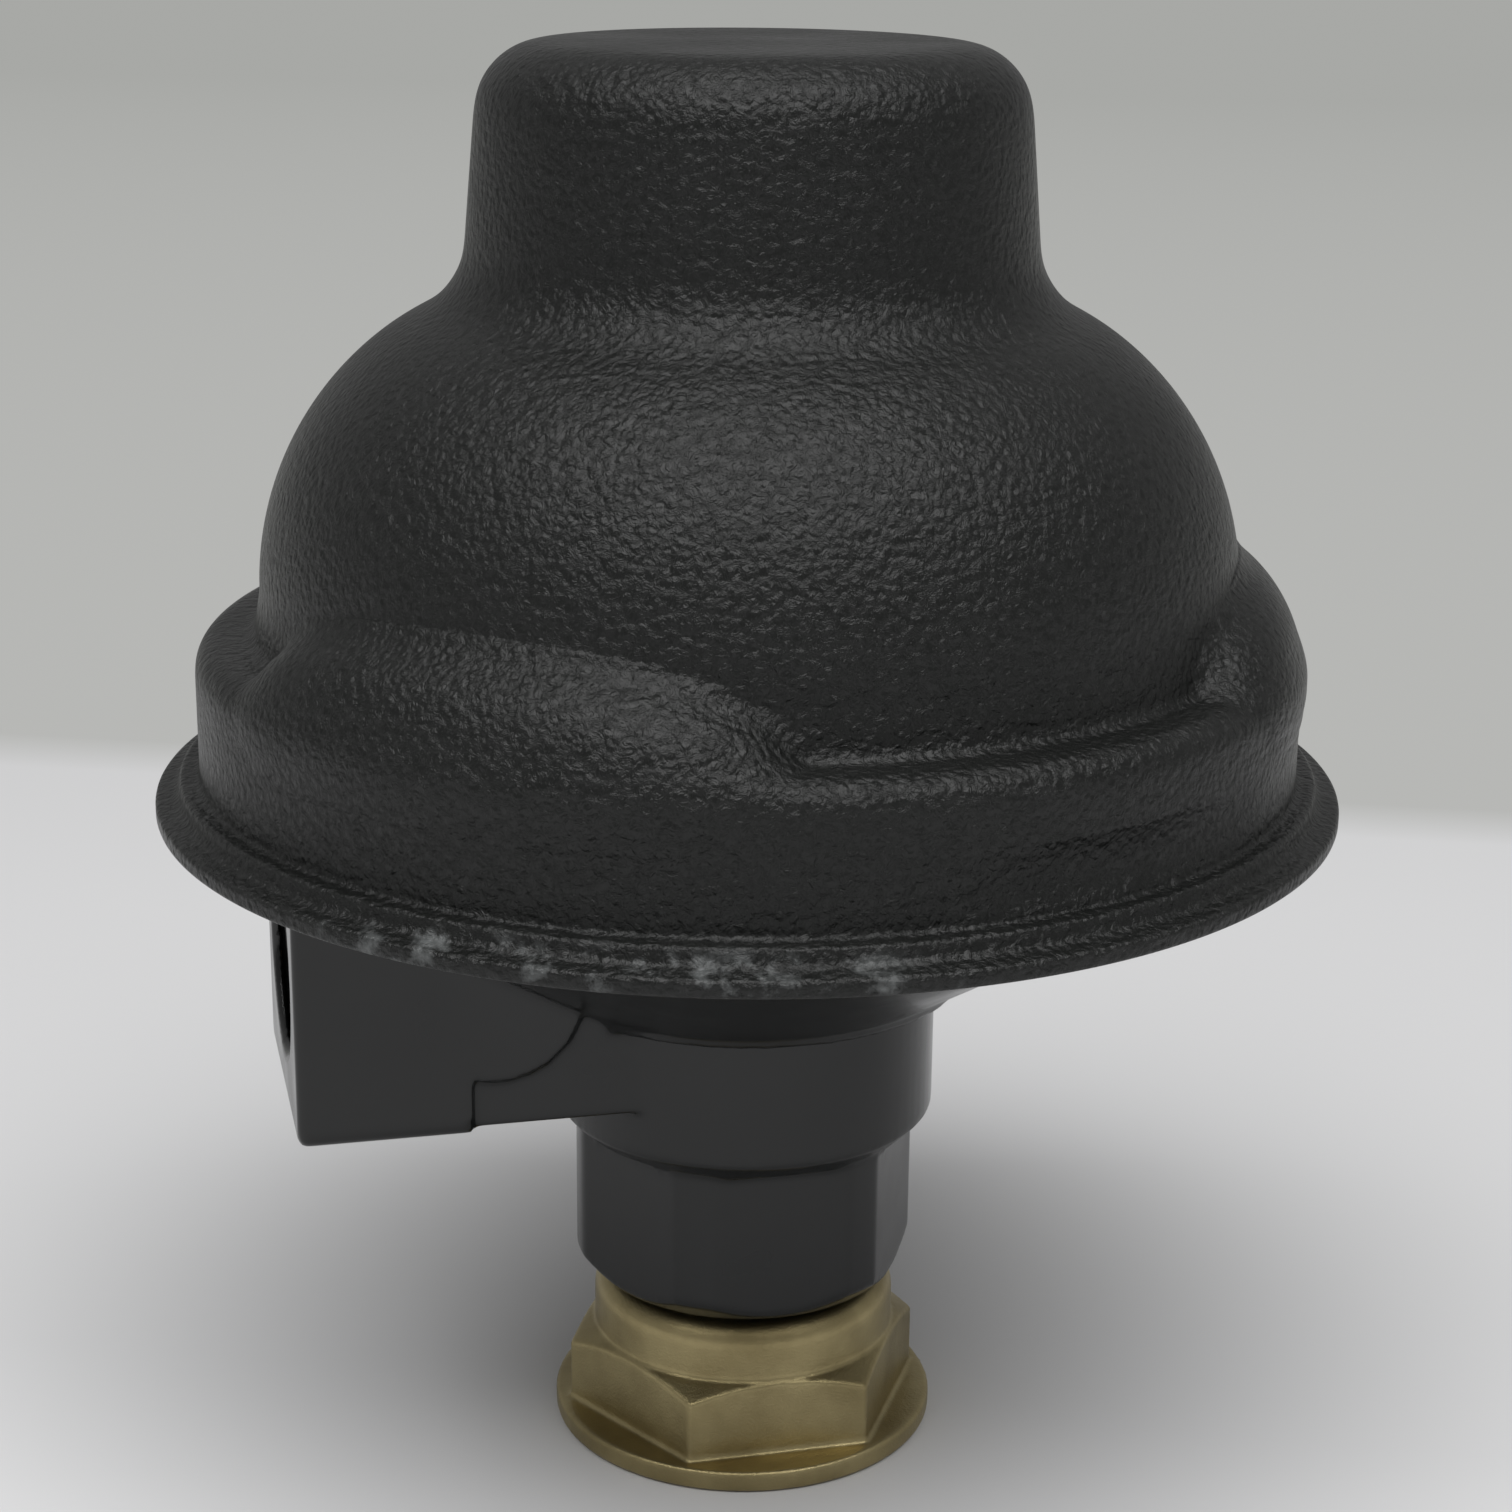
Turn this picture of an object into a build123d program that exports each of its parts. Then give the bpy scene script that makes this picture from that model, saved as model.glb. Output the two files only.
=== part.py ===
from build123d import *
from math import acos, cos, radians, sin, sqrt, tan
import os

# A gas pressure regulator: union nut inlet below, threaded outlet towards -X, moulded hood on top.
# The origin is the centre of the union nut's base, and the regulator stands along +Z.

# Union nut
nut_flange_radius = 18.5
nut_flange_thickness = 2.2
nut_across_flats = 30.0
nut_hex_height = 7.3
nut_shoulder_radius = 14.6
nut_height = 15.2
nut_thread_radius = 12.06
nut_thread_length = 7.0
nut_relief_radius = 12.6
nut_ledge_thickness = 3.6
nut_mouth_chamfer = 0.6
nut_shoulder_round = 2.2
nut_flange_round = 0.6
nut_corner_chamfer_angle = 30.0

# Inlet tailpiece, gasket and filter
tail_radius = 9.9
tail_bore_radius = 6.5
tail_flange_radius = 11.7
tail_flange_thickness = 2.3
tail_engagement = 14.0
gasket_thickness = 2.0
gasket_inner_radius = 8.6
tail_end_chamfer = 0.6
filter_wall = 0.5
filter_height = 11.0
filter_taper = 1.0
filter_rim_radius = 8.2
filter_slot_width = 1.2
filter_slot_length = 6.5
filter_slot_count = 6

# Valve body: hex neck, collar, hub and lower casing
neck_gap = 0.8
neck_height = 15.5
neck_across_flats = 30.0
neck_corner_radius = 16.4
neck_chamfer = 2.0
collar_radius = 18.0
collar_height = 14.5
collar_chamfer = 1.6
hub_radius = 20.7
hub_rim_height = 1.2
dish_height = 19.0
dish_radius = 43.0
dish_rim_height = 4.0
casing_wall = 3.0
casing_radius = 47.9
lower_flange_thickness = 3.5
chamber_radius = 38.0
inlet_passage_radius = 6.0
tower_radius = 11.0
tower_top_wall = 3.0
passage_headroom = 3.0

# Outlet block
outlet_end = 44.0
outlet_block_size = 28.0
outlet_block_length = 15.6
outlet_link_width = 26.0
outlet_link_drop = 13.3
outlet_thread_radius = 9.3
outlet_thread_length = 12.0
outlet_mouth_chamfer = 0.8
outlet_edge_round = 1.5
outlet_end_round = 0.8
link_round = 8.0
side_boss_radius = 7.8
side_boss_offset = 26.0
side_boss_drop = 1.0
side_boss_root = 2.0
valve_chamber_width = 18.0
valve_chamber_depth = 8.5
valve_chamber_end = 14.0
valve_chamber_round = 2.0

# Nozzle, valve guide, plunger, seat disc and lever
nozzle_thread_radius = 4.5
nozzle_thread_length = 7.0
nozzle_head_across_flats = 11.5
nozzle_head_length = 3.0
nozzle_tip_radius = 3.2
nozzle_tip_length = 3.0
nozzle_tip_taper = 8.0
orifice_radius = 1.75
guide_radius = 6.8
guide_bore_radius = 5.2
guide_length = 14.0
guide_window_length = 3.5
guide_window_height = 5.0
guide_window_inset = 0.8
plunger_clearance = 0.1
plunger_length = 8.0
seat_disc_radius = 4.2
seat_disc_thickness = 1.7
seat_disc_recess = 1.0
valve_opening = 1.0
lever_arm_length = 26.0
lever_short_arm = 7.5
lever_thickness = 3.0
lever_half_height = 0.9
lever_hub_radius = 2.6
lever_tip_radius = 1.3
lever_toe_radius = 1.2
lever_side_gap = 0.7
lever_toe_gap = 0.2
lever_slot_relief = 2.5
lever_pin_radius = 1.0
ear_thickness = 2.0
ear_radius = 2.5

# Diaphragm, its plates, stem and relief valve
diaphragm_thickness = 0.8
diaphragm_rim_inset = 0.5
convolution_radius = 3.6
plate_thickness = 1.5
upper_plate_radius = 30.0
upper_plate_lip = 2.0
lower_plate_radius = 29.0
lower_plate_round = 0.8
plate_hole_clearance = 0.4
spring_locator_height = 1.5
spring_locator_wall = 3.5
stem_radius = 4.0
stem_shank_radius = 2.4
stem_flange_radius = 6.5
stem_flange_thickness = 1.8
stem_foot_gap = 0.2
yoke_clearance = 0.35
relief_spring_radius = 4.6
relief_spring_wire = 0.6
relief_spring_length = 9.2
relief_spring_turns = 4
relief_retainer_radius = 6.4
relief_retainer_thickness = 2.5
stem_tip_length = 1.5

# Bonnet casing
bonnet_flange_thickness = 3.5
bonnet_wall = 2.6
bonnet_wall_height = 6.7
bonnet_shoulder_radius = 30.0
bonnet_shoulder_rise = 9.0
tube_bore_radius = 16.5
tube_wall = 3.5
tube_base_height = 24.0
rib_height = 5.6
rib_width = 3.0
rib_outer_inset = 0.5
rib_root = 0.5
rib_spread = 15.0
screws_per_bulge = 2
screw_circle_inset = 3.8
screw_radius = 2.0
screw_hole_clearance = 0.25
screw_head_radius = 3.3
screw_head_height = 2.8
screw_socket_across_flats = 3.0
screw_tip_gap = 0.4
vent_angle = 230.5
vent_boss_radius = 6.0
vent_boss_offset = 38.5
vent_boss_height = 11.2
vent_hole_radius = 3.5
vent_screen_radius = 4.6
vent_screen_thickness = 0.6
vent_screen_hole_radius = 0.7
vent_screen_hole_circle = 2.2
vent_screen_hole_count = 6

# Pressure setting: main spring, spring button, adjusting screw
main_spring_radius = 13.5
main_spring_wire = 1.2
main_spring_length = 35.2
main_spring_turns = 6
button_thickness = 2.5
button_boss_height = 2.0
button_clearance = 0.35
screw_plug_clearance = 0.1
screw_plug_height = 7.0
screw_plug_gap = 0.1
screw_plug_socket = 12.0
screw_plug_chamfer = 0.7
adjuster_up_travel = 3.0
spring_wire_sides = 6

# Closing cap and its seal
cap_thread_length = 3.0
cap_thread_gap = 0.9
cap_thread_clearance = 0.1
cap_radius = 20.0
cap_plate_thickness = 3.5
cap_grip_count = 18
cap_grip_radius = 1.0
cap_grip_offset = 0.3
cap_hex_across_flats = 12.0
cap_hex_depth = 2.0
seal_thickness = 1.0
seal_inner_clearance = 0.3
seal_rim_inset = 0.5

# Protective hood, vacuum formed in one sheet
hood_wall = 1.5
hood_seat_gap = 0.1
hood_side_clearance = 1.05
hood_cap_clearance = 2.5
hood_cap_headroom = 4.1
hood_cap_draft = 1.9
hood_lip_width = 4.15
hood_ridge_width = 1.75
hood_ridge_height = 3.4
hood_shelf_height = 15.9
hood_shelf_width = 5.35
hood_wall_draft = 0.65
hood_dome_round = 27.75
hood_dome_centre_height = 20.2
hood_lip_fillet = 0.8
hood_ridge_round = 0.5
hood_shelf_round = 2.8
hood_shelf_fillet = 1.5
hood_neck_fillet = 7.0
hood_crown_round = 5.5
hood_bulge_count = 3
hood_bulge_radius = 11.0
hood_bulge_half_length = 26.0
hood_bulge_setback = 0.6
hood_bulge_drop = 2.2

running_clearance = 0.1
thread_clearance = 0.05
pin_clearance = 0.05
pin_press_gap = 0.01

# Heights along the axis
nut_ledge_z = nut_height - nut_ledge_thickness
tail_flange_top = nut_ledge_z - running_clearance
tail_flange_z = tail_flange_top - tail_flange_thickness
gasket_z = tail_flange_z - gasket_thickness
neck_z = nut_height + neck_gap
collar_z = neck_z + neck_height
hub_z = collar_z + collar_height
flange_z = hub_z + dish_height
clamp_z = flange_z + lower_flange_thickness
bonnet_z = clamp_z + diaphragm_thickness
bonnet_flange_top = bonnet_z + bonnet_flange_thickness
rib_top = bonnet_flange_top + rib_height
tail_top = neck_z + tail_engagement
outlet_axis_z = flange_z - outlet_block_size / 2
passage_top = outlet_axis_z + passage_headroom
tower_top = passage_top + tower_top_wall
hood_z = rib_top + hood_seat_gap - hood_shelf_height + hood_wall

# Places of the valve gear, measured towards the outlet from the axis
nozzle_seat_x = -valve_chamber_end
nozzle_head_x = nozzle_seat_x - nozzle_head_length
nozzle_tip_x = nozzle_head_x - nozzle_tip_length
seat_disc_x = nozzle_tip_x - valve_opening
plunger_face_x = seat_disc_x - seat_disc_thickness + seat_disc_recess
lever_pivot_x = -lever_arm_length
lever_pivot_z = outlet_axis_z + lever_short_arm + lever_tip_radius + lever_toe_gap
lever_toe_z = lever_pivot_z - lever_short_arm

# Heights of the moving stack above the valve
lower_plate_z = clamp_z - plate_thickness
stem_flange_z = lower_plate_z - stem_flange_thickness
stem_foot_z = tower_top + stem_foot_gap
upper_plate_top = bonnet_z + plate_thickness
retainer_z = upper_plate_top + relief_spring_length
stem_top = retainer_z + relief_retainer_thickness + stem_tip_length
button_z = upper_plate_top + main_spring_length
plug_z = button_z + button_thickness + screw_plug_gap
plug_highest = plug_z + screw_plug_height + adjuster_up_travel
tube_top = plug_highest + cap_thread_gap + cap_thread_length
cap_plate_z = tube_top + seal_thickness
cap_top = cap_plate_z + cap_plate_thickness
hood_height = cap_top + hood_cap_headroom + hood_wall - hood_z

bonnet_outer_radius = chamber_radius + bonnet_wall
tube_radius = tube_bore_radius + tube_wall
block_bottom = outlet_axis_z - outlet_block_size / 2
screw_circle_radius = casing_radius - screw_circle_inset
bulge_step = 360 / hood_bulge_count
bulge_angles = [vent_angle + bulge_step * i for i in range(hood_bulge_count)]
rib_angles = [angle + bulge_step / 2 + side * rib_spread for angle in bulge_angles for side in (-1, 1)]
screw_step = bulge_step / screws_per_bulge
screw_angles = [vent_angle + screw_step * (i + 0.5) for i in range(hood_bulge_count * screws_per_bulge)]

# The hood's radii follow what it covers: the casing below and the closing cap above
hood_band_radius = casing_radius + hood_side_clearance + hood_wall
hood_lip_radius = hood_band_radius + hood_lip_width
hood_ridge_radius = hood_band_radius + hood_ridge_width
hood_foot_radius = hood_band_radius - hood_shelf_width
hood_waist_radius = hood_foot_radius - hood_wall_draft
hood_dome_centre_radius = hood_waist_radius - hood_dome_round
hood_cap_top_radius = cap_radius + hood_cap_clearance + hood_wall
hood_cap_base_radius = hood_cap_top_radius + hood_cap_draft


def spiral(radius, wire_radius, base_z, length, turns):
    """A compression spring standing between its seats, its wire drawn with a few flats."""
    rise = length - 2 * wire_radius
    with BuildPart() as coil:
        with BuildLine(Plane.XY.offset(base_z + wire_radius)) as path:
            Helix(pitch=rise / turns, height=rise, radius=radius)
        with BuildSketch(Plane(origin=path.line @ 0, z_dir=path.line % 0)):
            RegularPolygon(wire_radius, spring_wire_sides)
        sweep(is_frenet=True)
    return coil.part


os.makedirs("parts", exist_ok=True)

# Union nut: forged flange, hexagon and round shoulder, threaded from below
nut_hex_top = nut_flange_thickness + nut_hex_height
nut_corner_drop = (nut_flange_radius - nut_across_flats / 2) * tan(radians(nut_corner_chamfer_angle))
nut_top_hole_radius = tail_radius + 3 * running_clearance
with BuildPart() as union_nut:
    with BuildSketch():
        RegularPolygon(nut_across_flats / 2, 6, major_radius=False)
    extrude(amount=nut_hex_top)
    with BuildSketch(Plane.XZ):
        with BuildLine():
            Polyline(
                (0, 0),
                (nut_flange_radius, 0),
                (nut_flange_radius, nut_hex_top - nut_corner_drop),
                (nut_across_flats / 2, nut_hex_top),
                (0, nut_hex_top),
                close=True,
            )
        make_face()
    revolve(axis=Axis.Z, mode=Mode.INTERSECT)
    Cylinder(
        nut_flange_radius,
        nut_flange_thickness,
        align=(Align.CENTER, Align.CENTER, Align.MIN),
    )
    fillet(union_nut.edges().filter_by(GeomType.CIRCLE).group_by(Axis.Z)[0], nut_flange_round)
    with BuildSketch(Plane.XY.offset(nut_flange_thickness)):
        Circle(nut_shoulder_radius)
    extrude(amount=nut_height - nut_flange_thickness)
    fillet(union_nut.edges().filter_by(GeomType.CIRCLE).group_by(Axis.Z)[-1], nut_shoulder_round)
    with BuildSketch(Plane.XZ):
        with BuildLine():
            Polyline(
                (0, 0),
                (nut_thread_radius + nut_mouth_chamfer, 0),
                (nut_thread_radius, nut_mouth_chamfer),
                (nut_thread_radius, nut_thread_length),
                (nut_relief_radius, nut_thread_length),
                (nut_relief_radius, nut_ledge_z),
                (nut_top_hole_radius, nut_ledge_z),
                (nut_top_hole_radius, nut_height),
                (0, nut_height),
                close=True,
            )
        make_face()
    revolve(axis=Axis.Z, mode=Mode.SUBTRACT)
union_nut.part.label = "union_nut"

# Inlet tailpiece: flanged tube, screwed up into the neck and held by the nut's ledge
with BuildPart() as inlet_tailpiece:
    with BuildSketch(Plane.XZ):
        with BuildLine():
            Polyline(
                (tail_bore_radius, tail_flange_z),
                (tail_flange_radius, tail_flange_z),
                (tail_flange_radius, tail_flange_top),
                (tail_radius, tail_flange_top),
                (tail_radius, tail_top),
                (tail_bore_radius, tail_top),
                close=True,
            )
        make_face()
    revolve(axis=Axis.Z)
    top_edges = inlet_tailpiece.edges().group_by(Axis.Z)[-1]
    chamfer(top_edges.sort_by(SortBy.RADIUS)[-1], tail_end_chamfer)
inlet_tailpiece.part.label = "inlet_tailpiece"

# Flat gasket under the tailpiece flange
with BuildPart() as inlet_gasket:
    with BuildSketch(Plane.XY.offset(gasket_z)):
        Circle(tail_flange_radius)
        Circle(gasket_inner_radius, mode=Mode.SUBTRACT)
    extrude(amount=gasket_thickness)
inlet_gasket.part.label = "inlet_gasket"

# Thimble filter: its rim lies inside the gasket, against the tailpiece flange
filter_radius = tail_bore_radius - 3 * running_clearance
filter_end_radius = filter_radius - filter_taper
filter_top = tail_flange_z + filter_height
with BuildPart() as inlet_filter:
    with BuildSketch(Plane.XZ):
        with BuildLine():
            Polyline(
                (filter_radius - filter_wall, tail_flange_z - filter_wall),
                (filter_rim_radius, tail_flange_z - filter_wall),
                (filter_rim_radius, tail_flange_z),
                (filter_radius, tail_flange_z),
                (filter_end_radius, filter_top),
                (0, filter_top),
                (0, filter_top - filter_wall),
                (filter_end_radius - filter_wall, filter_top - filter_wall),
                close=True,
            )
        make_face()
    revolve(axis=Axis.Z)
    for slot in range(filter_slot_count // 2):
        turn = radians(360 * slot / filter_slot_count)
        slot_middle = (0, 0, tail_flange_z + filter_height / 2)
        with BuildSketch(Plane(origin=slot_middle, z_dir=(cos(turn), sin(turn), 0))):
            SlotOverall(filter_slot_length, filter_slot_width, rotation=90)
        extrude(amount=tail_bore_radius, both=True, mode=Mode.SUBTRACT)
inlet_filter.part.label = "inlet_filter"

# Valve body: neck, collar, hub and dish in one casting, with the outlet block on the -X side
dish_profile = [
    (0, collar_z),
    (collar_radius - collar_chamfer, collar_z),
    (collar_radius, collar_z + collar_chamfer),
    (collar_radius, hub_z),
    (hub_radius, hub_z),
    (hub_radius + hub_rim_height / 2, hub_z + hub_rim_height),
    (dish_radius, flange_z - dish_rim_height),
    (dish_radius, flange_z),
    (casing_radius, flange_z),
    (casing_radius, clamp_z),
    (0, clamp_z),
]
cavity_profile = [
    (0, tower_top),
    (tower_radius, tower_top),
    (tower_radius, hub_z + casing_wall + hub_rim_height / 2),
    (hub_radius, hub_z + casing_wall + hub_rim_height / 2),
    (chamber_radius, flange_z - dish_rim_height + casing_wall),
    (chamber_radius, clamp_z),
    (0, clamp_z),
]
chamber_length = outlet_end - outlet_thread_length - valve_chamber_end
chamber_floor = outlet_axis_z - valve_chamber_depth
chamber_top = lever_pivot_z + ear_radius
with BuildPart() as valve_body:
    with BuildSketch(Plane.YZ.offset(-outlet_end)) as block_face:
        with Locations((0, (block_bottom + flange_z) / 2)):
            Rectangle(outlet_block_size, flange_z - block_bottom)
        fillet(block_face.vertices().group_by(Axis.Y)[0], outlet_edge_round)
    extrude(amount=outlet_block_length)
    end_edges = valve_body.faces().sort_by(Axis.X)[0].edges()
    fillet(end_edges.sort_by(Axis.Z)[:-1], outlet_end_round)
    with BuildSketch(Plane.XZ):
        with BuildLine():
            Polyline(*dish_profile, close=True)
        make_face()
    revolve(axis=Axis.Z)
    with BuildSketch(Plane.YZ.offset(-outlet_end + outlet_block_length)) as link_face:
        with Locations((0, outlet_axis_z)):
            RectangleRounded(outlet_link_width, 2 * outlet_link_drop, link_round)
    extrude(amount=outlet_end - outlet_block_length)
    with BuildSketch(Plane.XZ.offset(outlet_link_width / 2 - side_boss_root)):
        with Locations((-side_boss_offset, outlet_axis_z - side_boss_drop)):
            Circle(side_boss_radius)
    extrude(amount=side_boss_root + (outlet_block_size - outlet_link_width) / 2)
    with BuildSketch(Plane.XY.offset(neck_z)) as neck_hex:
        RegularPolygon(neck_across_flats / 2, 6, major_radius=False)
        Circle(neck_corner_radius, mode=Mode.INTERSECT)
    extrude(amount=neck_height)
    with BuildSketch(Plane.XZ):
        with BuildLine():
            Polyline(
                (neck_corner_radius - neck_chamfer, neck_z),
                (neck_corner_radius + neck_chamfer, neck_z),
                (neck_corner_radius + neck_chamfer, neck_z + 2 * neck_chamfer),
                close=True,
            )
        make_face()
    revolve(axis=Axis.Z, mode=Mode.SUBTRACT)
    with BuildSketch(Plane.XZ):
        with BuildLine():
            Polyline(*cavity_profile, close=True)
        make_face()
    revolve(axis=Axis.Z, mode=Mode.SUBTRACT)
    with BuildSketch(Plane.XY.offset(chamber_floor)):
        with Locations((-valve_chamber_end - chamber_length / 2, 0)):
            RectangleRounded(chamber_length, valve_chamber_width, valve_chamber_round)
    extrude(amount=chamber_top - chamber_floor, mode=Mode.SUBTRACT)
    with BuildSketch(Plane.YZ.offset(-valve_chamber_end)) as nozzle_boss:
        with Locations((0, outlet_axis_z)):
            Circle(tower_top - outlet_axis_z)
    extrude(amount=valve_chamber_end)
    with BuildSketch(Plane.XY.offset(neck_z)) as inlet_passage:
        Circle(inlet_passage_radius)
    extrude(amount=passage_top - neck_z, mode=Mode.SUBTRACT)
    with BuildSketch(Plane.XY.offset(neck_z)) as tail_thread:
        Circle(tail_radius + thread_clearance)
    extrude(amount=tail_engagement, mode=Mode.SUBTRACT)
    with BuildSketch(Plane.YZ.offset(-valve_chamber_end)) as nozzle_thread:
        with Locations((0, outlet_axis_z)):
            Circle(nozzle_thread_radius + thread_clearance)
    extrude(amount=valve_chamber_end, mode=Mode.SUBTRACT)
    with BuildSketch(Plane.XZ) as outlet_bore:
        with BuildLine():
            Polyline(
                (-outlet_end, outlet_axis_z),
                (-outlet_end, outlet_axis_z + outlet_thread_radius + outlet_mouth_chamfer),
                (-outlet_end + outlet_mouth_chamfer, outlet_axis_z + outlet_thread_radius),
                (-outlet_end + outlet_thread_length, outlet_axis_z + outlet_thread_radius),
                (-outlet_end + outlet_thread_length, outlet_axis_z),
                close=True,
            )
        make_face()
    revolve(axis=Axis((0, 0, outlet_axis_z), (1, 0, 0)), mode=Mode.SUBTRACT)
    with BuildSketch(Plane.XY.offset(flange_z)) as screw_threads:
        for angle in screw_angles:
            with Locations(Vector(screw_circle_radius, 0, 0).rotate(Axis.Z, angle)):
                Circle(screw_radius + thread_clearance)
    extrude(amount=lower_flange_thickness, mode=Mode.SUBTRACT)
valve_body.part.label = "valve_body"

# Nozzle: screwed into the tower from the outlet side, its raised tip is the valve seat
with BuildPart() as nozzle:
    with BuildSketch(Plane.YZ.offset(nozzle_seat_x)):
        with Locations((0, outlet_axis_z)):
            Circle(nozzle_thread_radius)
    extrude(amount=nozzle_thread_length)
    with BuildSketch(Plane.YZ.offset(nozzle_head_x)):
        with Locations((0, outlet_axis_z)):
            RegularPolygon(nozzle_head_across_flats / 2, 6, major_radius=False)
    extrude(amount=nozzle_head_length)
    with BuildSketch(Plane.YZ.offset(nozzle_tip_x)):
        with Locations((0, outlet_axis_z)):
            Circle(nozzle_tip_radius)
    extrude(amount=nozzle_tip_length, taper=-nozzle_tip_taper)
    with BuildSketch(Plane.YZ.offset(nozzle_tip_x)):
        with Locations((0, outlet_axis_z)):
            Circle(orifice_radius)
    extrude(
        amount=nozzle_tip_length + nozzle_head_length + nozzle_thread_length,
        mode=Mode.SUBTRACT,
    )
nozzle.part.label = "nozzle"

# Valve guide: a windowed sleeve on the nozzle head that carries the lever's ears
guide_end_x = nozzle_head_x - guide_length
ear_inner = lever_thickness / 2 + lever_side_gap
with BuildPart() as valve_guide:
    with BuildSketch(Plane.YZ.offset(guide_end_x)):
        with Locations((0, outlet_axis_z)):
            Circle(guide_radius)
    extrude(amount=guide_length)
    with BuildSketch(Plane.XZ.offset(-ear_inner - ear_thickness)) as ears:
        with Locations((lever_pivot_x, lever_pivot_z)):
            Circle(ear_radius)
        with Locations((lever_pivot_x, (lever_pivot_z + outlet_axis_z) / 2)):
            Rectangle(2 * ear_radius, lever_pivot_z - outlet_axis_z)
    extrude(amount=2 * (ear_inner + ear_thickness))
    with BuildSketch(Plane.YZ.offset(guide_end_x)):
        with Locations((0, outlet_axis_z)):
            Circle(guide_bore_radius)
    extrude(amount=guide_length, mode=Mode.SUBTRACT)
    with BuildSketch(Plane.XZ.offset(-ear_inner)) as lever_slot:
        with Locations((lever_pivot_x, lever_pivot_z)):
            Rectangle(2 * ear_radius + lever_slot_relief, 2 * lever_short_arm)
    extrude(amount=2 * ear_inner, mode=Mode.SUBTRACT)
    with BuildSketch(Plane.XZ.offset(-guide_radius)) as windows:
        with Locations((nozzle_head_x - guide_window_inset - guide_window_length / 2, outlet_axis_z)):
            Rectangle(guide_window_length, guide_window_height)
    extrude(amount=2 * guide_radius, mode=Mode.SUBTRACT)
    with BuildSketch(Plane.XZ.offset(-guide_radius)) as pin_holes:
        with Locations((lever_pivot_x, lever_pivot_z)):
            Circle(lever_pin_radius + pin_press_gap)
    extrude(amount=2 * guide_radius, mode=Mode.SUBTRACT)
valve_guide.part.label = "valve_guide"

# Plunger: slides in the guide, with a cross slot for the lever's toe and a recess for the disc
plunger_radius = guide_bore_radius - plunger_clearance
toe_slot_half = lever_toe_radius + yoke_clearance
with BuildPart() as valve_plunger:
    with BuildSketch(Plane.YZ.offset(plunger_face_x - plunger_length)):
        with Locations((0, outlet_axis_z)):
            Circle(plunger_radius)
    extrude(amount=plunger_length)
    with BuildSketch(Plane.YZ.offset(plunger_face_x - seat_disc_recess)):
        with Locations((0, outlet_axis_z)):
            Circle(seat_disc_radius + thread_clearance)
    extrude(amount=seat_disc_recess, mode=Mode.SUBTRACT)
    with BuildSketch(Plane.XZ.offset(-ear_inner)) as toe_slot:
        with Locations((lever_pivot_x, lever_toe_z + plunger_radius / 2)):
            Rectangle(2 * toe_slot_half, plunger_radius + 2 * toe_slot_half)
    extrude(amount=2 * ear_inner, mode=Mode.SUBTRACT)
valve_plunger.part.label = "valve_plunger"

with BuildPart() as seat_disc:
    with BuildSketch(Plane.YZ.offset(seat_disc_x - seat_disc_thickness)):
        with Locations((0, outlet_axis_z)):
            Circle(seat_disc_radius)
    extrude(amount=seat_disc_thickness)
seat_disc.part.label = "seat_disc"

# Lever: a bell crank, from the stem's yoke over the pin and down into the plunger
with BuildPart() as lever:
    with BuildSketch(Plane.XZ.offset(-lever_thickness / 2)):
        with Locations((lever_pivot_x, lever_pivot_z)):
            Circle(lever_hub_radius)
        with Locations((lever_pivot_x / 2, lever_pivot_z)):
            Rectangle(lever_arm_length, 2 * lever_half_height)
        with Locations((0, lever_pivot_z)):
            Circle(lever_tip_radius)
        with Locations((lever_pivot_x, lever_pivot_z - lever_short_arm / 2)):
            Rectangle(2 * lever_half_height, lever_short_arm)
        with Locations((lever_pivot_x, lever_toe_z)):
            Circle(lever_toe_radius)
        with Locations((lever_pivot_x, lever_pivot_z)):
            Circle(lever_pin_radius + pin_clearance, mode=Mode.SUBTRACT)
    extrude(amount=lever_thickness)
lever.part.label = "lever"

with BuildPart() as lever_pin:
    pin_half = ear_inner + ear_thickness
    with BuildSketch(Plane.XZ.offset(-pin_half)):
        with Locations((lever_pivot_x, lever_pivot_z)):
            Circle(lever_pin_radius)
    extrude(amount=2 * pin_half)
lever_pin.part.label = "lever_pin"

# Diaphragm: a moulded sheet with one rolling convolution, clamped between the casings
convolution_centre = (upper_plate_radius + chamber_radius) / 2
inner_bend = convolution_radius - diaphragm_thickness / 2
outer_bend = convolution_radius + diaphragm_thickness / 2
plate_bore = stem_shank_radius + plate_hole_clearance
with BuildPart() as diaphragm:
    with BuildSketch(Plane.XZ):
        with BuildLine():
            Polyline((plate_bore, clamp_z), (convolution_centre - inner_bend, clamp_z))
            ThreePointArc(
                (convolution_centre - inner_bend, clamp_z),
                (convolution_centre, clamp_z + inner_bend),
                (convolution_centre + inner_bend, clamp_z),
            )
            Polyline(
                (convolution_centre + inner_bend, clamp_z),
                (casing_radius - diaphragm_rim_inset, clamp_z),
                (casing_radius - diaphragm_rim_inset, bonnet_z),
                (convolution_centre + sqrt(outer_bend**2 - diaphragm_thickness**2), bonnet_z),
            )
            ThreePointArc(
                (convolution_centre + sqrt(outer_bend**2 - diaphragm_thickness**2), bonnet_z),
                (convolution_centre, clamp_z + outer_bend),
                (convolution_centre - sqrt(outer_bend**2 - diaphragm_thickness**2), bonnet_z),
            )
            Polyline(
                (convolution_centre - sqrt(outer_bend**2 - diaphragm_thickness**2), bonnet_z),
                (plate_bore, bonnet_z),
                (plate_bore, clamp_z),
            )
        make_face()
    revolve(axis=Axis.Z)
    with BuildSketch(Plane.XY.offset(clamp_z)):
        for angle in screw_angles:
            with Locations(Vector(screw_circle_radius, 0, 0).rotate(Axis.Z, angle)):
                Circle(screw_radius + screw_hole_clearance)
    extrude(amount=diaphragm_thickness, mode=Mode.SUBTRACT)
diaphragm.part.label = "diaphragm"

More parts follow.
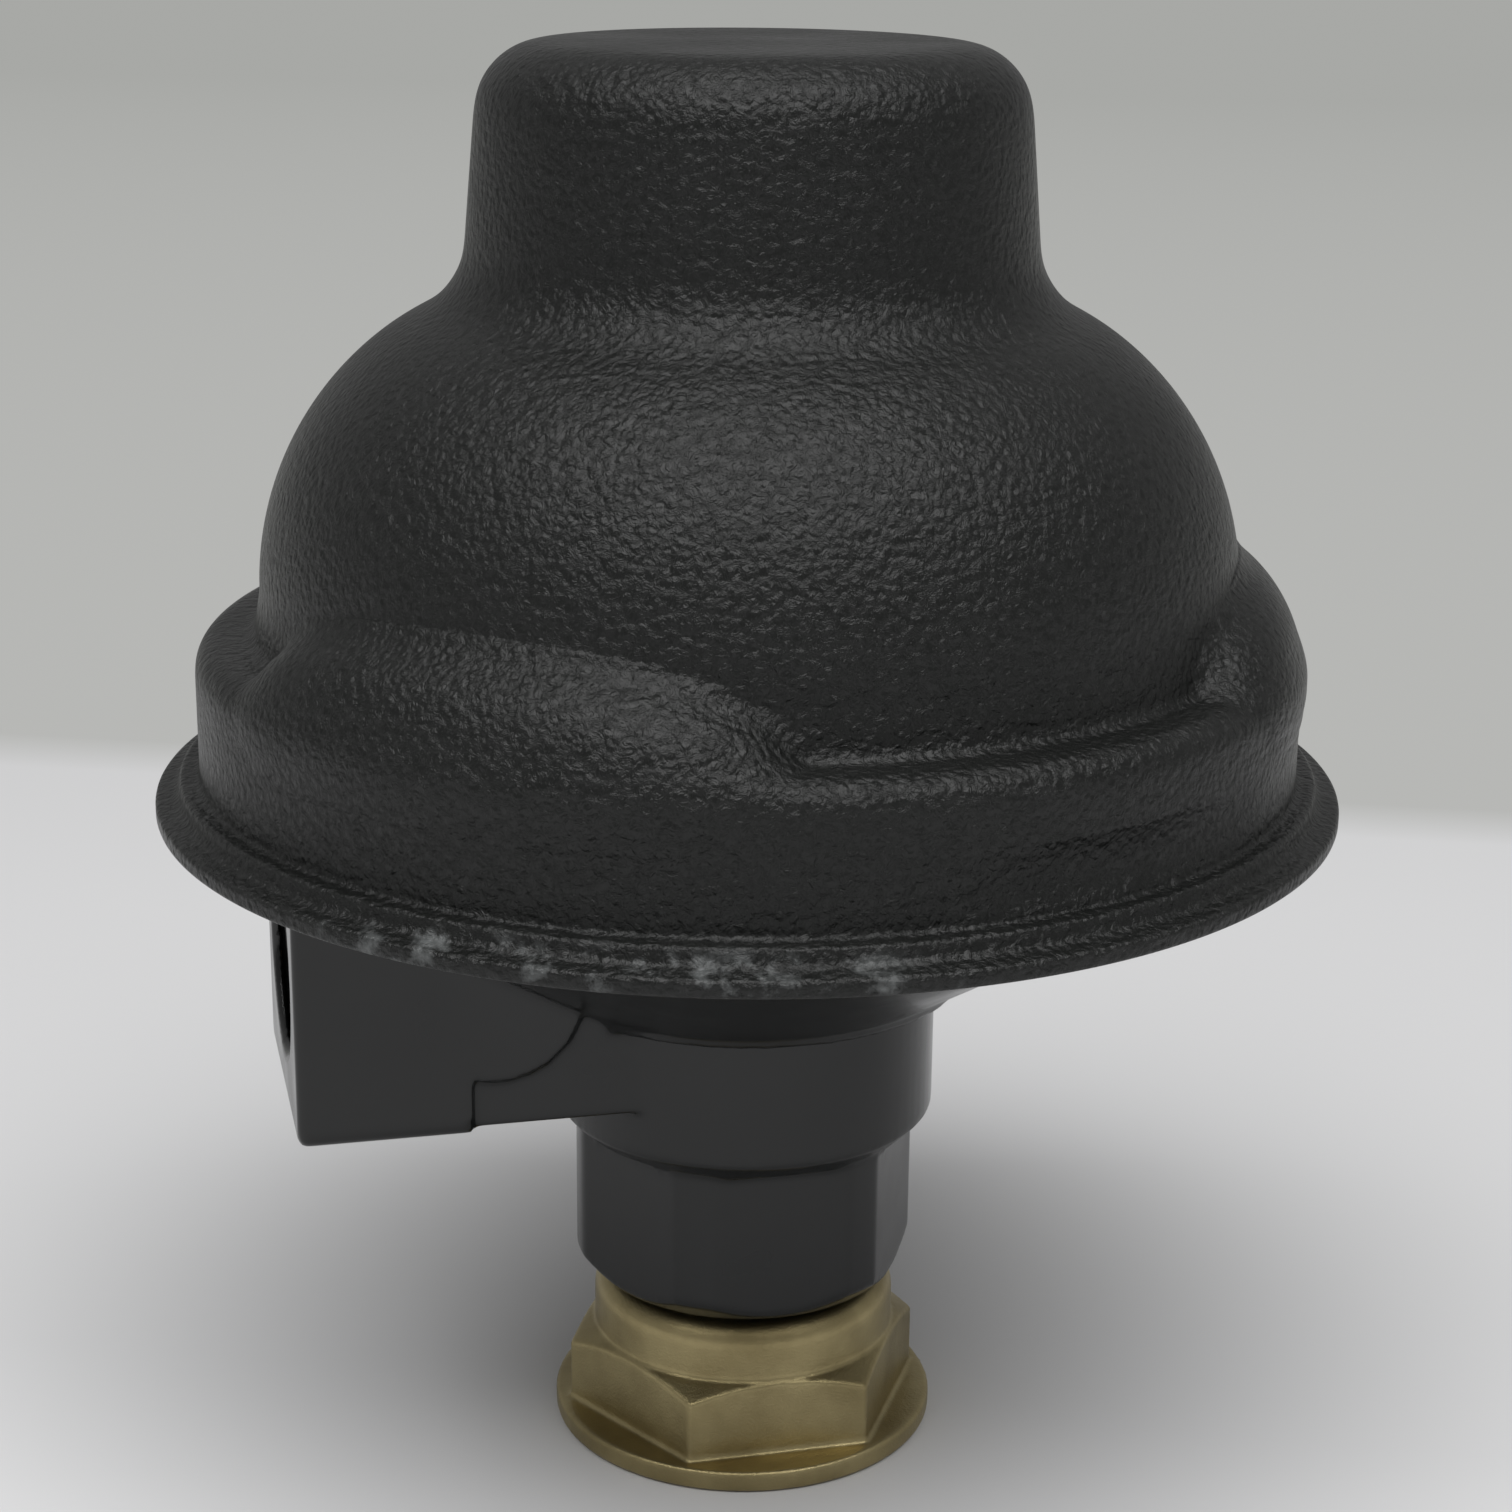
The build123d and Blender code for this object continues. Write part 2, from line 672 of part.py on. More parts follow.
with BuildPart() as lower_plate:
    with BuildSketch(Plane.XY.offset(lower_plate_z)):
        Circle(lower_plate_radius)
        Circle(plate_bore, mode=Mode.SUBTRACT)
    extrude(amount=plate_thickness)
    fillet(lower_plate.edges().group_by(Axis.Z)[0].sort_by(SortBy.RADIUS)[-1], lower_plate_round)
lower_plate.part.label = "lower_plate"

# Upper plate: a pressed cup with an upturned rim and a ring that centres the main spring
locator_radius = main_spring_radius - main_spring_wire - 2 * running_clearance
with BuildPart() as upper_plate:
    with BuildSketch(Plane.XZ):
        with BuildLine():
            Polyline(
                (plate_bore, bonnet_z),
                (upper_plate_radius, bonnet_z),
                (upper_plate_radius, upper_plate_top + upper_plate_lip),
                (upper_plate_radius - plate_thickness, upper_plate_top + upper_plate_lip),
                (upper_plate_radius - plate_thickness, upper_plate_top),
                (locator_radius, upper_plate_top),
                (locator_radius, upper_plate_top + spring_locator_height),
                (locator_radius - spring_locator_wall, upper_plate_top + spring_locator_height),
                (locator_radius - spring_locator_wall, upper_plate_top),
                (plate_bore, upper_plate_top),
                close=True,
            )
        make_face()
    revolve(axis=Axis.Z)
upper_plate.part.label = "upper_plate"

# Stem: its flange seals the relief hole, its yoke holds the lever's tip
with BuildPart() as stem:
    with BuildSketch(Plane.XZ):
        with BuildLine():
            Polyline(
                (0, stem_foot_z),
                (stem_radius, stem_foot_z),
                (stem_radius, stem_flange_z),
                (stem_flange_radius, stem_flange_z),
                (stem_flange_radius, lower_plate_z),
                (stem_shank_radius, lower_plate_z),
                (stem_shank_radius, stem_top),
                (0, stem_top),
                close=True,
            )
        make_face()
    revolve(axis=Axis.Z)
    yoke_half = lever_tip_radius + yoke_clearance
    with BuildSketch(Plane.XZ.offset(-lever_thickness / 2 - yoke_clearance)) as yoke:
        with Locations((-stem_radius / 2, lever_pivot_z)):
            Rectangle(stem_radius + 2 * yoke_half, 2 * yoke_half)
    extrude(amount=lever_thickness + 2 * yoke_clearance, mode=Mode.SUBTRACT)
stem.part.label = "stem"

with BuildPart() as relief_retainer:
    with BuildSketch(Plane.XY.offset(retainer_z)):
        RegularPolygon(relief_retainer_radius, 6)
        Circle(stem_shank_radius + thread_clearance, mode=Mode.SUBTRACT)
    extrude(amount=relief_retainer_thickness)
relief_retainer.part.label = "relief_retainer"

relief_spring = spiral(
    relief_spring_radius,
    relief_spring_wire,
    upper_plate_top,
    relief_spring_length,
    relief_spring_turns,
)
relief_spring.label = "relief_spring"

main_spring = spiral(
    main_spring_radius,
    main_spring_wire,
    upper_plate_top,
    main_spring_length,
    main_spring_turns,
)
main_spring.label = "main_spring"

# Bonnet casing: bolted flange, domed shoulder, spring tube, ribs that carry the hood, vent boss
tube_base_z = bonnet_z + tube_base_height
bonnet_wall_top = bonnet_z + bonnet_wall_height
bonnet_shoulder_z = bonnet_wall_top + bonnet_shoulder_rise
rib_length = casing_radius - rib_outer_inset - bonnet_outer_radius + bonnet_wall
rib_middle = casing_radius - rib_outer_inset - rib_length / 2
with BuildPart() as bonnet_casing:
    with BuildSketch(Plane.XZ) as bonnet_outside:
        with BuildLine():
            Polyline(
                (0, bonnet_z),
                (casing_radius, bonnet_z),
                (casing_radius, bonnet_flange_top),
                (bonnet_outer_radius, bonnet_flange_top),
                (bonnet_outer_radius, bonnet_wall_top),
            )
            ThreePointArc(
                (bonnet_outer_radius, bonnet_wall_top),
                (bonnet_shoulder_radius, bonnet_shoulder_z),
                (tube_radius, tube_base_z),
            )
            Polyline((tube_radius, tube_base_z), (tube_radius, tube_top), (0, tube_top), (0, bonnet_z))
        make_face()
    revolve(axis=Axis.Z)
    for angle in rib_angles:
        with BuildSketch(Plane.XY.offset(bonnet_flange_top - rib_root)):
            with Locations(Location(Vector(rib_middle, 0, 0).rotate(Axis.Z, angle), angle)):
                Rectangle(rib_length, rib_width)
        extrude(amount=rib_height + rib_root)
    vent_centre = Vector(vent_boss_offset, 0, 0).rotate(Axis.Z, vent_angle)
    with BuildSketch(Plane.XY.offset(bonnet_flange_top)) as vent_boss:
        with Locations(vent_centre):
            Circle(vent_boss_radius)
    extrude(amount=vent_boss_height)
    with BuildSketch(Plane.XZ) as bonnet_inside:
        with BuildLine():
            Polyline((0, bonnet_z), (chamber_radius, bonnet_z), (chamber_radius, bonnet_wall_top))
            ThreePointArc(
                (chamber_radius, bonnet_wall_top),
                (bonnet_shoulder_radius - bonnet_wall, bonnet_shoulder_z - bonnet_wall),
                (tube_bore_radius, tube_base_z - bonnet_wall),
            )
            Polyline(
                (tube_bore_radius, tube_base_z - bonnet_wall),
                (tube_bore_radius, tube_top),
                (0, tube_top),
                (0, bonnet_z),
            )
        make_face()
    revolve(axis=Axis.Z, mode=Mode.SUBTRACT)
    with BuildSketch(Plane.XY.offset(bonnet_flange_top + bonnet_wall)) as vent_hole:
        with Locations(vent_centre):
            Circle(vent_hole_radius)
    extrude(amount=vent_boss_height, mode=Mode.SUBTRACT)
    vent_top = bonnet_flange_top + vent_boss_height
    with BuildSketch(Plane.XY.offset(vent_top - 2 * vent_screen_thickness)) as screen_seat:
        with Locations(vent_centre):
            Circle(vent_screen_radius + thread_clearance)
    extrude(amount=2 * vent_screen_thickness, mode=Mode.SUBTRACT)
    with BuildSketch(Plane.XY.offset(bonnet_z)) as screw_holes:
        for angle in screw_angles:
            with Locations(Vector(screw_circle_radius, 0, 0).rotate(Axis.Z, angle)):
                Circle(screw_radius + screw_hole_clearance)
    extrude(amount=bonnet_flange_thickness, mode=Mode.SUBTRACT)
bonnet_casing.part.label = "bonnet_casing"

with BuildPart() as vent_screen:
    with BuildSketch(Plane.XY.offset(vent_top - 2 * vent_screen_thickness)):
        with Locations(vent_centre):
            Circle(vent_screen_radius)
            with PolarLocations(vent_screen_hole_circle, vent_screen_hole_count):
                Circle(vent_screen_hole_radius, mode=Mode.SUBTRACT)
    extrude(amount=vent_screen_thickness)
vent_screen.part.label = "vent_screen"

# Casing screws: socket heads on the bonnet flange, shanks down into the lower casing
with BuildPart() as casing_screws:
    for angle in screw_angles:
        place = Vector(screw_circle_radius, 0, 0).rotate(Axis.Z, angle)
        with BuildSketch(Plane.XY.offset(flange_z + screw_tip_gap)):
            with Locations(place):
                Circle(screw_radius)
        extrude(amount=bonnet_flange_top - flange_z - screw_tip_gap)
        with BuildSketch(Plane.XY.offset(bonnet_flange_top)):
            with Locations(place):
                Circle(screw_head_radius)
        extrude(amount=screw_head_height)
        with BuildSketch(Plane.XY.offset(bonnet_flange_top + screw_head_height / 2)):
            with Locations(place):
                RegularPolygon(screw_socket_across_flats / 2, 6, major_radius=False)
        extrude(amount=screw_head_height / 2, mode=Mode.SUBTRACT)
casing_screws.part.label = "casing_screws"

# Spring button: a thrust washer with a boss that centres the spring
with BuildPart() as spring_button:
    with BuildSketch(Plane.XY.offset(button_z)):
        Circle(tube_bore_radius - button_clearance)
    extrude(amount=button_thickness)
    with BuildSketch(Plane.XY.offset(button_z - button_boss_height)):
        Circle(locator_radius)
    extrude(amount=button_boss_height)
    with BuildSketch(Plane.XY.offset(button_z - button_boss_height)):
        Circle(locator_radius - spring_locator_wall)
    extrude(amount=button_boss_height + button_thickness, mode=Mode.SUBTRACT)
spring_button.part.label = "spring_button"

# Adjusting screw: a threaded plug in the spring tube, turned by a hexagon key
with BuildPart() as adjusting_screw:
    with BuildSketch(Plane.XY.offset(plug_z)):
        Circle(tube_bore_radius - screw_plug_clearance)
        RegularPolygon(screw_plug_socket / 2, 6, major_radius=False, mode=Mode.SUBTRACT)
    extrude(amount=screw_plug_height)
    top_edges = adjusting_screw.edges().filter_by(GeomType.CIRCLE).group_by(Axis.Z)[-1]
    chamfer(top_edges, screw_plug_chamfer)
adjusting_screw.part.label = "adjusting_screw"

# Closing cap: a threaded spigot in the tube, a gripped rim and a hexagon recess
with BuildPart() as closing_cap:
    with BuildSketch(Plane.XY.offset(tube_top - cap_thread_length)):
        Circle(tube_bore_radius - cap_thread_clearance)
    extrude(amount=cap_thread_length + seal_thickness)
    with BuildSketch(Plane.XY.offset(cap_plate_z)):
        Circle(cap_radius)
        with PolarLocations(cap_radius + cap_grip_offset, cap_grip_count):
            Circle(cap_grip_radius, mode=Mode.SUBTRACT)
    extrude(amount=cap_plate_thickness)
    with BuildSketch(Plane.XY.offset(cap_top - cap_hex_depth)):
        RegularPolygon(cap_hex_across_flats / 2, 6, major_radius=False)
    extrude(amount=cap_hex_depth, mode=Mode.SUBTRACT)
closing_cap.part.label = "closing_cap"

with BuildPart() as cap_seal:
    with BuildSketch(Plane.XY.offset(tube_top)):
        Circle(tube_radius - seal_rim_inset)
        Circle(tube_bore_radius + seal_inner_clearance, mode=Mode.SUBTRACT)
    extrude(amount=seal_thickness)
cap_seal.part.label = "cap_seal"


def hood_form(inset):
    """The hood's outer form at inset 0, and the hollow under it at the sheet's thickness."""
    ridge = hood_ridge_radius - inset
    ridge_top = hood_ridge_height - inset
    band = hood_band_radius - inset
    shelf = hood_shelf_height - inset
    foot = hood_foot_radius - inset
    waist = hood_waist_radius - inset
    dome = hood_dome_round - inset
    cap_base = hood_cap_base_radius - inset
    cap_top_radius = hood_cap_top_radius - inset
    crown = hood_height - inset
    neck_angle = acos((cap_base - hood_dome_centre_radius) / dome)
    neck = hood_dome_centre_height + dome * sin(neck_angle)
    dome_middle = (
        hood_dome_centre_radius + dome * cos(neck_angle / 2),
        hood_dome_centre_height + dome * sin(neck_angle / 2),
    )
    rim_corners = [(ridge, 0)]
    rounds = [
        ((ridge, ridge_top), hood_ridge_round),
        ((band, ridge_top), hood_ridge_round),
        ((band, shelf), hood_shelf_round - inset),
        ((foot, shelf), hood_shelf_fillet + inset),
        ((cap_base, neck), hood_neck_fillet + inset),
        ((cap_top_radius, crown), hood_crown_round - inset),
    ]
    if inset == 0:
        rim_corners = [(hood_lip_radius, 0), (hood_lip_radius, hood_wall), (ridge, hood_wall)]
        rounds.append(((ridge, hood_wall), hood_lip_fillet))
    with BuildPart() as form:
        with BuildSketch(Plane.XZ) as outline:
            with BuildLine():
                Polyline(
                    (0, 0),
                    *rim_corners,
                    (ridge, ridge_top),
                    (band, ridge_top),
                    (band, shelf),
                    (foot, shelf),
                    (waist, hood_dome_centre_height),
                )
                ThreePointArc((waist, hood_dome_centre_height), dome_middle, (cap_base, neck))
                Polyline((cap_base, neck), (cap_top_radius, crown), (0, crown), (0, 0))
            make_face()
            for corner, radius in rounds:
                fillet(outline.vertices().sort_by_distance(corner)[0], radius)
        revolve(axis=Axis.Z)
        for angle in bulge_angles:
            out = Vector(1, 0, 0).rotate(Axis.Z, angle)
            along = Vector(0, 1, 0).rotate(Axis.Z, angle)
            middle_radius = hood_band_radius - hood_bulge_setback - hood_bulge_radius
            middle = out * middle_radius + Vector(0, 0, hood_shelf_height - hood_bulge_drop)
            with BuildSketch(Plane(origin=middle, x_dir=along, z_dir=out)):
                Ellipse(hood_bulge_half_length - inset, hood_bulge_radius - inset)
                with Locations((0, -hood_bulge_radius)):
                    Rectangle(2 * hood_bulge_half_length, 2 * hood_bulge_radius, mode=Mode.SUBTRACT)
            revolve(axis=Axis(middle, along))
    return form.part


with BuildPart() as hood_sheet:
    add(hood_form(0))
    add(hood_form(hood_wall), mode=Mode.SUBTRACT)
with BuildPart() as protective_hood:
    with Locations((0, 0, hood_z)):
        add(hood_sheet.part)
protective_hood.part.label = "protective_hood"

subparts = [
    union_nut.part,
    inlet_tailpiece.part,
    inlet_gasket.part,
    inlet_filter.part,
    valve_body.part,
    nozzle.part,
    valve_guide.part,
    valve_plunger.part,
    seat_disc.part,
    lever.part,
    lever_pin.part,
    diaphragm.part,
    lower_plate.part,
    upper_plate.part,
    stem.part,
    relief_retainer.part,
    relief_spring,
    main_spring,
    bonnet_casing.part,
    vent_screen.part,
    casing_screws.part,
    spring_button.part,
    adjusting_screw.part,
    closing_cap.part,
    cap_seal.part,
    protective_hood.part,
]
for subpart in subparts:
    export_step(subpart, f"parts/{subpart.label}.step")
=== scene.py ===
from math import acos, cos, pi, radians, sin

import bmesh
import bpy
import numpy as np
from mathutils import Matrix, Vector


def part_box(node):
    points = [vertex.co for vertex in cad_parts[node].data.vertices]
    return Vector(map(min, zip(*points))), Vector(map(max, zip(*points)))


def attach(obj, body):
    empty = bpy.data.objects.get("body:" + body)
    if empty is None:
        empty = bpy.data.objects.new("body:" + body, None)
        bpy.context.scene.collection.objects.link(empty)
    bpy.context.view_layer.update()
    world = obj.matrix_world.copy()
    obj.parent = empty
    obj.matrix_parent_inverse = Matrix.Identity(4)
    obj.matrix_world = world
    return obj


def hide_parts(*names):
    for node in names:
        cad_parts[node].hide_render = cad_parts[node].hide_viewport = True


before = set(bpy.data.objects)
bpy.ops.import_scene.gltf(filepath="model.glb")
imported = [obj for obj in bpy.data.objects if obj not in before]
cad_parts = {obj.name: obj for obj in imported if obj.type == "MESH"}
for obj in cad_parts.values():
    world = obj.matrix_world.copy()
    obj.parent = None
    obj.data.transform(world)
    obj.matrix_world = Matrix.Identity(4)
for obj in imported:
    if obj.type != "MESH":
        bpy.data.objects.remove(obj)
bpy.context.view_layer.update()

MM = 0.001

# The camera, in the photograph's frame
PHOTO_SIZE = 1512
FOCAL_PIXELS = 3014.5
SENSOR_WIDTH = 36.0
CAMERA_DISTANCE = 269.57 * MM
CAMERA_SIDE = 0.75 * MM
CAMERA_HEIGHT = 149.53 * MM
CAMERA_PITCH = 0.2970
CAMERA_ROLL = 0.0100
CAMERA_TURN = radians(13.5)

# The hood's outline, in millimetres above its own base
HOOD_WALL = 1.5
HOOD_LIP_RADIUS = 54.5
HOOD_RIDGE_RADIUS = 52.2
HOOD_RIDGE_HEIGHT = 3.4
HOOD_BAND_RADIUS = 50.45
HOOD_SHELF_HEIGHT = 15.9
HOOD_SHELF_ROUND = 2.8
HOOD_SHELF_FILLET = 1.5
HOOD_FOOT_RADIUS = 45.1
HOOD_DOME_ROUND = 27.75
HOOD_DOME_CENTRE_RADIUS = 16.7
HOOD_DOME_CENTRE_HEIGHT = 20.2
HOOD_DOME_STEPS = 40
HOOD_NECK_FILLET = 7.0
HOOD_CAP_BASE_RADIUS = 25.9
HOOD_CAP_TOP_RADIUS = 24.0
HOOD_CROWN_ROUND = 6.5
HOOD_HEIGHT = 68.2
HOOD_TURNS = 480
HOOD_BLEND = 2.0
HOOD_BULGE_ANGLES = [227.5, 347.5, 107.5]
HOOD_BULGE_RADIUS = 11.0
HOOD_BULGE_HALF_LENGTH = 26.0
HOOD_BULGE_PLACE = 39.3
HOOD_BULGE_HEIGHT = 13.7

# A shallow dent in the hood's band, on the near right
DENT_TURN = radians(295)
DENT_HALF_TURN = radians(20)
DENT_HEIGHT = 6.8
DENT_HALF_HEIGHT = 2.8
DENT_DEPTH = 0.8

# The hood's black, and the tone of the scuffs on it
HOOD_BLACK = (0.006, 0.0065, 0.006)
HOOD_SCUFF = (0.2, 0.21, 0.21)

# Scuffs on the near left of the lip: the way they face, how far out and how high they reach
SCUFF_TURN = radians(246)
SCUFF_REACH = 46.5 * MM
SCUFF_TOP = 67.6 * MM

# The square lower edge of the link between body and outlet block: blocks given by two opposite corners
LINK_FOOT = [
    ((-29.5, -12.95, 37.5), (-10.0, 12.95, 42.3)),
    ((-29.5, -12.95, 42.0), (-10.0, -9.4, 46.0)),
    ((-29.5, 9.4, 42.0), (-10.0, 12.95, 46.0)),
]

# Pipe threads, in millimetres: G 1/2 in the outlet and G 3/4 in the nut
PITCH = 1.814
OUTLET_HEIGHT = 51.0
OUTLET_CREST = 9.3
OUTLET_ROOT = 10.48
OUTLET_SPAN = (-43.2, -32.1)
NUT_CREST = 12.06
NUT_ROOT = 13.2
NUT_SPAN = (0.7, 6.9)
THREAD_SIDES = 96
THREAD_STEPS = 10
THREAD_BACK = 0.15

# Lights and surroundings
SOFTBOX_SIZE = (1.5, 0.85)
SOFTBOX_PLACE = (0.0, -0.4, 1.0)
SOFTBOX_RADIANCE = 4.3
WORLD_STRENGTH = 0.3
FLOOR_SIZE = 8.0
FLOOR_COLOUR = (0.59, 0.59, 0.595)
# Painted light: a paler floor colour towards the front, making up for the softbox's light falling off there
FLOOR_FRONT_PAINTED_LIGHT = (0.78, 0.78, 0.785)
FLOOR_PAINTED_LIGHT_START = -0.12
BACK_TURN = radians(68.5)
BACK_START = 0.19
BACK_FULL = 0.208
BACK_FAR = 1.6
# Painted light and shade: the backdrop glows with these colours and is darker farther away as painted shade
BACKDROP_GLOW_NEAR = (0.475, 0.478, 0.465)
BACKDROP_SHADED_GLOW_FAR = (0.39, 0.395, 0.38)


# Shader building

def new_material(name, colour, metallic=0.0, roughness=0.4):
    """A principled material: its tree and its shader node."""
    made = bpy.data.materials.new(name)
    made.use_nodes = True
    shader = made.node_tree.nodes["Principled BSDF"]
    shader.inputs["Base Color"].default_value = (*colour, 1)
    shader.inputs["Metallic"].default_value = metallic
    shader.inputs["Roughness"].default_value = roughness
    return made, made.node_tree, shader


def node(tree, kind, inputs=None, **settings):
    """A node with its settings; an input is a constant or another node's output."""
    made = tree.nodes.new(kind)
    for name, value in settings.items():
        setattr(made, name, value)
    for socket, value in (inputs or {}).items():
        if isinstance(value, bpy.types.NodeSocket):
            tree.links.new(value, made.inputs[socket])
        else:
            made.inputs[socket].default_value = value
    return made


def place(tree):
    """Where a point lies on its object, in metres."""
    return node(tree, "ShaderNodeTexCoord").outputs["Object"]


def noise(tree, where, scale, detail=2.0, roughness=0.5, distortion=0.0):
    made = node(
        tree,
        "ShaderNodeTexNoise",
        {"Vector": where, "Scale": scale, "Detail": detail, "Roughness": roughness, "Distortion": distortion},
    )
    return made.outputs["Fac"]


def remap(tree, value, low, high, to_low, to_high):
    made = node(
        tree,
        "ShaderNodeMapRange",
        {"Value": value, "From Min": low, "From Max": high, "To Min": to_low, "To Max": to_high},
    )
    return made.outputs["Result"]


def maths(tree, operation, first, second):
    return node(tree, "ShaderNodeMath", {0: first, 1: second}, operation=operation).outputs[0]


def mix_colours(tree, share, first, second):
    made = node(tree, "ShaderNodeMix", {"Factor": share}, data_type="RGBA")
    for socket, value in ((made.inputs[6], first), (made.inputs[7], second)):
        if isinstance(value, bpy.types.NodeSocket):
            tree.links.new(value, socket)
        else:
            socket.default_value = (*value, 1)
    return made.outputs[2]


def bump(tree, height, distance, strength=1.0, normal=None):
    inputs = {"Height": height, "Distance": distance, "Strength": strength}
    if normal is not None:
        inputs["Normal"] = normal
    return node(tree, "ShaderNodeBump", inputs).outputs["Normal"]


def leather_plastic():
    """Black vacuum-formed plastic with a leather grain, and pale scuffs on the near side of the lip."""
    made, tree, shader = new_material("hood_plastic", HOOD_BLACK, roughness=0.42)
    shader.inputs["Specular IOR Level"].default_value = 0.27
    where = place(tree)
    pebbles = node(
        tree,
        "ShaderNodeTexVoronoi",
        {"Vector": where, "Scale": 1400.0, "Smoothness": 0.5, "Randomness": 1.0},
        feature="SMOOTH_F1",
    ).outputs["Distance"]
    wrinkles = noise(tree, where, 980.0, detail=4.0, roughness=0.65, distortion=0.6)
    grain = maths(tree, "SUBTRACT", wrinkles, maths(tree, "MULTIPLY", pebbles, 0.5))
    fine = noise(tree, where, 3200.0, detail=1.0)
    normal = bump(tree, fine, 0.05 * MM, 0.8)
    tree.links.new(bump(tree, grain, 0.34 * MM, 1.0, normal), shader.inputs["Normal"])
    gloss = noise(tree, where, 60.0, detail=3.0)
    tree.links.new(remap(tree, gloss, 0.3, 0.7, 0.29, 0.4), shader.inputs["Roughness"])
    facing = node(
        tree, "ShaderNodeVectorMath", {0: where, 1: (cos(SCUFF_TURN), sin(SCUFF_TURN), 0)},
        operation="DOT_PRODUCT",
    ).outputs["Value"]
    near = remap(tree, facing, SCUFF_REACH, SCUFF_REACH + 4 * MM, 0.0, 1.0)
    height = node(tree, "ShaderNodeSeparateXYZ", {0: where}).outputs["Z"]
    low = remap(tree, height, SCUFF_TOP - 1.2 * MM, SCUFF_TOP, 1.0, 0.0)
    streaks = remap(tree, noise(tree, where, 260.0, detail=5.0, roughness=0.7), 0.52, 0.68, 0.0, 0.45)
    scuffed = maths(tree, "MULTIPLY", streaks, maths(tree, "MULTIPLY", near, low))
    colour = mix_colours(tree, scuffed, HOOD_BLACK, HOOD_SCUFF)
    tree.links.new(colour, shader.inputs["Base Color"])
    return made


def gloss_paint():
    """Thick glossy black paint on a casting."""
    made, tree, shader = new_material("black_casting", (0.006, 0.0065, 0.0065), roughness=0.2)
    shader.inputs["Specular IOR Level"].default_value = 0.36
    where = place(tree)
    peel = noise(tree, where, 420.0, detail=2.0)
    tree.links.new(bump(tree, peel, 0.03 * MM, 0.6), shader.inputs["Normal"])
    gloss = noise(tree, where, 90.0, detail=3.0)
    tree.links.new(remap(tree, gloss, 0.3, 0.7, 0.16, 0.28), shader.inputs["Roughness"])
    return made


def blasted_brass():
    """Forged brass, blasted with fine sand."""
    made, tree, shader = new_material("forged_brass", (0.55, 0.40, 0.17), 1.0, 0.42)
    where = place(tree)
    sand = noise(tree, where, 3800.0, detail=2.0, roughness=0.7)
    dents = noise(tree, where, 700.0, detail=3.0, roughness=0.6)
    normal = bump(tree, dents, 0.05 * MM, 0.6)
    tree.links.new(bump(tree, sand, 0.05 * MM, 0.8, normal), shader.inputs["Normal"])
    tone = remap(tree, noise(tree, where, 160.0, detail=4.0), 0.3, 0.7, 0.0, 1.0)
    colour = mix_colours(tree, tone, (0.27, 0.22, 0.11), (0.42, 0.35, 0.185))
    tree.links.new(colour, shader.inputs["Base Color"])
    return made


def metal(name, colour, roughness, scale=900.0, depth=0.01):
    """A machined or drawn metal with fine marks and a slightly uneven sheen."""
    made, tree, shader = new_material(name, colour, 1.0, roughness)
    where = place(tree)
    tree.links.new(bump(tree, noise(tree, where, scale), depth * MM, 0.6), shader.inputs["Normal"])
    sheen = noise(tree, where, 220.0, detail=3.0)
    spread = remap(tree, sheen, 0.3, 0.7, roughness - 0.06, roughness + 0.06)
    tree.links.new(spread, shader.inputs["Roughness"])
    return made


def matt(name, colour, roughness, scale=700.0, depth=0.02):
    """Rubber or plain plastic with a faint texture."""
    made, tree, shader = new_material(name, colour, 0.0, roughness)
    where = place(tree)
    tree.links.new(bump(tree, noise(tree, where, scale, detail=3.0), depth * MM, 0.7), shader.inputs["Normal"])
    tone = remap(tree, noise(tree, where, 120.0, detail=3.0), 0.3, 0.7, 0.8, 1.2)
    darker = tuple(0.8 * part for part in colour)
    lighter = tuple(1.2 * part for part in colour)
    tree.links.new(mix_colours(tree, tone, darker, lighter), shader.inputs["Base Color"])
    return made


materials = {
    "hood_plastic": leather_plastic(),
    "black_casting": gloss_paint(),
    "forged_brass": blasted_brass(),
    "turned_brass": metal("turned_brass", (0.66, 0.50, 0.24), 0.26),
    "spring_steel": metal("spring_steel", (0.42, 0.42, 0.43), 0.3),
    "zinc_steel": metal("zinc_steel", (0.60, 0.62, 0.64), 0.32),
    "cast_aluminium": metal("cast_aluminium", (0.62, 0.62, 0.61), 0.45, 500.0, 0.04),
    "rubber": matt("rubber", (0.022, 0.022, 0.023), 0.62),
    "cap_plastic": matt("cap_plastic", (0.03, 0.032, 0.035), 0.4),
}


def dress(made, slot):
    """The slot's material on a piece or a CAD node."""
    made.data.materials.clear()
    made.data.materials.append(materials[slot])


# Meshes

def mesh_piece(name, points, faces, slot, body):
    """A smooth mesh piece that rides on a body."""
    data = bpy.data.meshes.new(name)
    data.from_pydata([tuple(point) for point in points], [], faces)
    data.update()
    data.polygons.foreach_set("use_smooth", [True] * len(data.polygons))
    made = bpy.data.objects.new(name, data)
    bpy.context.scene.collection.objects.link(made)
    data.materials.append(materials[slot])
    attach(made, body)
    return made


